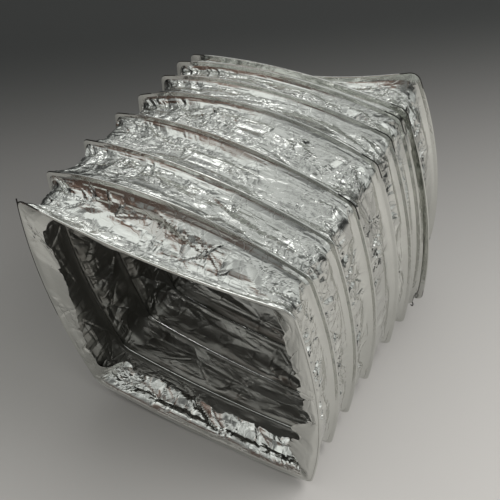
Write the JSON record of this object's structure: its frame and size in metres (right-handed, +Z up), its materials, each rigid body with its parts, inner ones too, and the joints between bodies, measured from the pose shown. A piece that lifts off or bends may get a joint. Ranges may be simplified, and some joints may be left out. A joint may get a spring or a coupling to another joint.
{
  "type": "flexible air duct",
  "caption": "Square flexible air duct: a pleated foil sleeve over bowed spring wire turns, open at both ends, that stretches, closes up and bends.",
  "frame": {"origin": "centre of the front mouth, in the plane of the first wire turn", "axes": "+Y back along the duct, +X to the right across the mouth, +Z up"},
  "size_m": [0.328, 0.3316, 0.289],
  "materials": {
    "spring_steel": "dark drawn spring wire",
    "foil_laminate": "crumpled bright foil laminate"
  },
  "bodies": {
    "turn_1": {"wire_turn_1": "spring_steel", "foil_bay_1_front": "foil_laminate", "front_hem": "foil_laminate"},
    "fold_1": {"foil_bay_1_rear": "foil_laminate"},
    "turn_2": {"wire_turn_2": "spring_steel", "foil_bay_2_front": "foil_laminate"},
    "fold_2": {"foil_bay_2_rear": "foil_laminate"},
    "turn_3": {"wire_turn_3": "spring_steel", "foil_bay_3_front": "foil_laminate"},
    "fold_3": {"foil_bay_3_rear": "foil_laminate"},
    "turn_4": {"wire_turn_4": "spring_steel", "foil_bay_4_front": "foil_laminate"},
    "fold_4": {"foil_bay_4_rear": "foil_laminate"},
    "turn_5": {"wire_turn_5": "spring_steel", "foil_bay_5_front": "foil_laminate"},
    "fold_5": {"foil_bay_5_rear": "foil_laminate"},
    "turn_6": {"wire_turn_6": "spring_steel", "foil_bay_6_front": "foil_laminate"},
    "fold_6": {"foil_bay_6_rear": "foil_laminate"},
    "turn_7": {"wire_turn_7": "spring_steel", "foil_bay_7_front": "foil_laminate"},
    "fold_7": {"foil_bay_7_rear": "foil_laminate"},
    "turn_8": {"wire_turn_8": "spring_steel", "foil_bay_8_front": "foil_laminate"},
    "fold_8": {"foil_bay_8_rear": "foil_laminate"},
    "turn_9": {"wire_turn_9": "spring_steel", "rear_hem": "foil_laminate"}
  },
  "joints": [
    {"name": "stretch_1", "type": "slide", "parent": "turn_1", "child": "fold_1", "axis": [0, 1, 0], "range_m": [-0.0155, 0.024], "deforming": ["foil_bay_1_front"]},
    {"name": "bend_1", "type": "hinge", "parent": "fold_1", "child": "turn_2", "pos_m": [0.0015, 0.044, -0.0005], "axis": [0, 0, 1], "range_deg": [-6.6, 6.6], "deforming": ["foil_bay_1_rear"]},
    {"name": "stretch_2", "type": "slide", "parent": "turn_2", "child": "fold_2", "axis": [0, 1, 0], "range_m": [-0.0171, 0.0222], "deforming": ["foil_bay_2_front"]},
    {"name": "bend_2", "type": "hinge", "parent": "fold_2", "child": "turn_3", "pos_m": [0.0045, 0.0905, -0.0008], "axis": [1, 0, 0], "range_deg": [-7.3, 7.3], "deforming": ["foil_bay_2_rear"]},
    {"name": "stretch_3", "type": "slide", "parent": "turn_3", "child": "fold_3", "axis": [0, 1, 0], "range_m": [-0.0208, 0.0245], "deforming": ["foil_bay_3_front"]},
    {"name": "bend_3", "type": "hinge", "parent": "fold_3", "child": "turn_4", "pos_m": [0.008, 0.1395, -0.0015], "axis": [0, 0, 1], "range_deg": [-8.8, 8.8], "deforming": ["foil_bay_3_rear"]},
    {"name": "stretch_4", "type": "slide", "parent": "turn_4", "child": "fold_4", "axis": [0, 1, 0], "range_m": [-0.0156, 0.0171], "deforming": ["foil_bay_4_front"]},
    {"name": "bend_4", "type": "hinge", "parent": "fold_4", "child": "turn_5", "pos_m": [0.012, 0.187, -0.0024], "axis": [1, 0, 0], "range_deg": [-6.7, 6.7], "deforming": ["foil_bay_4_rear"]},
    {"name": "stretch_5", "type": "slide", "parent": "turn_5", "child": "fold_5", "axis": [0, 1, 0], "range_m": [-0.014, 0.029], "deforming": ["foil_bay_5_front"]},
    {"name": "bend_5", "type": "hinge", "parent": "fold_5", "child": "turn_6", "pos_m": [0.015, 0.227, -0.0027], "axis": [0, 0, 1], "range_deg": [-6, 6], "deforming": ["foil_bay_5_rear"]},
    {"name": "stretch_6", "type": "slide", "parent": "turn_6", "child": "fold_6", "axis": [0, 1, 0], "range_m": [-0.0121, 0.0422], "deforming": ["foil_bay_6_front"]},
    {"name": "bend_6", "type": "hinge", "parent": "fold_6", "child": "turn_7", "pos_m": [0.016, 0.2585, -0.0029], "axis": [1, 0, 0], "range_deg": [-5.2, 5.2], "deforming": ["foil_bay_6_rear"]},
    {"name": "stretch_7", "type": "slide", "parent": "turn_7", "child": "fold_7", "axis": [0, 1, 0], "range_m": [-0.0011, 0.0502], "deforming": ["foil_bay_7_front"]},
    {"name": "bend_7", "type": "hinge", "parent": "fold_7", "child": "turn_8", "pos_m": [0.022, 0.275, -0.0026], "axis": [0, 0, 1], "range_deg": [-0.8, 0.8], "deforming": ["foil_bay_7_rear"]},
    {"name": "stretch_8", "type": "slide", "parent": "turn_8", "child": "fold_8", "axis": [0, 1, 0], "range_m": [-0.0016, 0.009], "deforming": ["foil_bay_8_front"]},
    {"name": "bend_8", "type": "hinge", "parent": "fold_8", "child": "turn_9", "pos_m": [0.0145, 0.3125, 0.0063], "axis": [1, 0, 0], "range_deg": [-1, 1], "deforming": ["foil_bay_8_rear"]}
  ]
}
